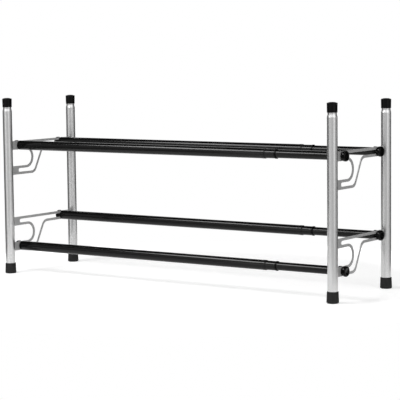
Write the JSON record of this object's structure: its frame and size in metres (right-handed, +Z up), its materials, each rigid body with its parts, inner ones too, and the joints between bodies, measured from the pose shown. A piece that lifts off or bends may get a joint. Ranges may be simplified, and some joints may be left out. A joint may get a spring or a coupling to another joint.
{
  "type": "extendable shoe rack",
  "caption": "Free-standing two-tier shoe rack with telescoping rails, slotted end brackets for a level or tilted tier, and clamp knobs at the rail ends.",
  "frame": {"origin": "on the floor, midway between the four posts, at the rest width", "axes": "+X along the rails to the inner tubes' side, +Y from front to back, +Z up"},
  "size_m": [0.7746, 0.2246, 0.3564],
  "materials": {
    "silver_paint": "satin silver powder coat on steel tube",
    "grey_sheet": "satin grey powder coat on stamped steel sheet",
    "black_paint": "glossy black powder coat on steel tube",
    "black_plastic": "moulded black plastic, satin",
    "black_rubber": "soft moulded black, satin",
    "zinc_steel": "zinc plated thread"
  },
  "bodies": {
    "left_frame": {"post_left_front": "silver_paint", "post_left_back": "silver_paint", "cap_left_front": "black_plastic", "cap_left_back": "black_plastic", "foot_left_front": "black_rubber", "foot_left_back": "black_rubber", "bracket_left_upper": "grey_sheet", "bracket_left_lower": "grey_sheet", "outer_tube_upper_back": "black_paint", "mouth_ring_upper_back": "black_plastic", "plug_left_upper_back": "black_plastic", "outer_tube_lower_back": "black_paint", "mouth_ring_lower_back": "black_plastic", "plug_left_lower_back": "black_plastic"},
    "right_frame": {"post_right_front": "silver_paint", "post_right_back": "silver_paint", "cap_right_front": "black_plastic", "cap_right_back": "black_plastic", "foot_right_front": "black_rubber", "foot_right_back": "black_rubber", "bracket_right_upper": "grey_sheet", "bracket_right_lower": "grey_sheet", "inner_tube_upper_back": "black_paint", "glide_bush_upper_back": "black_plastic", "plug_right_upper_back": "black_plastic", "inner_tube_lower_back": "black_paint", "glide_bush_lower_back": "black_plastic", "plug_right_lower_back": "black_plastic"},
    "upper_front_outer": {"outer_tube_upper_front": "black_paint", "mouth_ring_upper_front": "black_plastic", "plug_left_upper_front": "black_plastic"},
    "upper_front_inner": {"inner_tube_upper_front": "black_paint", "glide_bush_upper_front": "black_plastic", "plug_right_upper_front": "black_plastic"},
    "lower_front_outer": {"outer_tube_lower_front": "black_paint", "mouth_ring_lower_front": "black_plastic", "plug_left_lower_front": "black_plastic"},
    "lower_front_inner": {"inner_tube_lower_front": "black_paint", "glide_bush_lower_front": "black_plastic", "plug_right_lower_front": "black_plastic"},
    "clamp_left_upper_front": {"knob_left_upper_front": "black_plastic", "stud_left_upper_front": "zinc_steel"},
    "clamp_left_upper_back": {"knob_left_upper_back": "black_plastic", "stud_left_upper_back": "zinc_steel"},
    "clamp_left_lower_front": {"knob_left_lower_front": "black_plastic", "stud_left_lower_front": "zinc_steel"},
    "clamp_left_lower_back": {"knob_left_lower_back": "black_plastic", "stud_left_lower_back": "zinc_steel"},
    "clamp_right_upper_front": {"knob_right_upper_front": "black_plastic", "stud_right_upper_front": "zinc_steel"},
    "clamp_right_upper_back": {"knob_right_upper_back": "black_plastic", "stud_right_upper_back": "zinc_steel"},
    "clamp_right_lower_front": {"knob_right_lower_front": "black_plastic", "stud_right_lower_front": "zinc_steel"},
    "clamp_right_lower_back": {"knob_right_lower_back": "black_plastic", "stud_right_lower_back": "zinc_steel"}
  },
  "joints": [
    {"name": "extend", "type": "slide", "parent": "left_frame", "child": "right_frame", "axis": [1, 0, 0], "range_m": [-0.128, 0.38]},
    {"name": "upper_front_shift", "type": "slide", "parent": "left_frame", "child": "upper_front_outer", "axis": [0, 1, 0], "range_m": [0, 0.112]},
    {"name": "upper_front_shift_right", "type": "slide", "parent": "right_frame", "child": "upper_front_inner", "axis": [0, 1, 0], "range_m": [0, 0.112]},
    {"name": "lower_front_shift", "type": "slide", "parent": "left_frame", "child": "lower_front_outer", "axis": [0, 1, 0], "range_m": [0, 0.04]},
    {"name": "lower_front_shift_right", "type": "slide", "parent": "right_frame", "child": "lower_front_inner", "axis": [0, 1, 0], "range_m": [0, 0.04]},
    {"name": "turn_left_upper_front", "type": "hinge", "parent": "upper_front_outer", "child": "clamp_left_upper_front", "pos_m": [-0.376, -0.06625, 0.25925], "axis": [1, 0, 0], "continuous": true},
    {"name": "turn_left_upper_back", "type": "hinge", "parent": "left_frame", "child": "clamp_left_upper_back", "pos_m": [-0.376, 0.06625, 0.25925], "axis": [1, 0, 0], "continuous": true},
    {"name": "turn_left_lower_front", "type": "hinge", "parent": "lower_front_outer", "child": "clamp_left_lower_front", "pos_m": [-0.376, -0.06625, 0.05295], "axis": [1, 0, 0], "continuous": true},
    {"name": "turn_left_lower_back", "type": "hinge", "parent": "left_frame", "child": "clamp_left_lower_back", "pos_m": [-0.376, 0.06625, 0.10395], "axis": [1, 0, 0], "continuous": true},
    {"name": "turn_right_upper_front", "type": "hinge", "parent": "upper_front_inner", "child": "clamp_right_upper_front", "pos_m": [0.376, -0.06625, 0.25925], "axis": [1, 0, 0], "continuous": true},
    {"name": "turn_right_upper_back", "type": "hinge", "parent": "right_frame", "child": "clamp_right_upper_back", "pos_m": [0.376, 0.06625, 0.25925], "axis": [1, 0, 0], "continuous": true},
    {"name": "turn_right_lower_front", "type": "hinge", "parent": "lower_front_inner", "child": "clamp_right_lower_front", "pos_m": [0.376, -0.06625, 0.05295], "axis": [1, 0, 0], "continuous": true},
    {"name": "turn_right_lower_back", "type": "hinge", "parent": "right_frame", "child": "clamp_right_lower_back", "pos_m": [0.376, 0.06625, 0.10395], "axis": [1, 0, 0], "continuous": true}
  ],
  "couplings": [
    {"joint": "upper_front_shift_right", "follows": "upper_front_shift", "ratio": 1},
    {"joint": "lower_front_shift_right", "follows": "lower_front_shift", "ratio": 1}
  ]
}
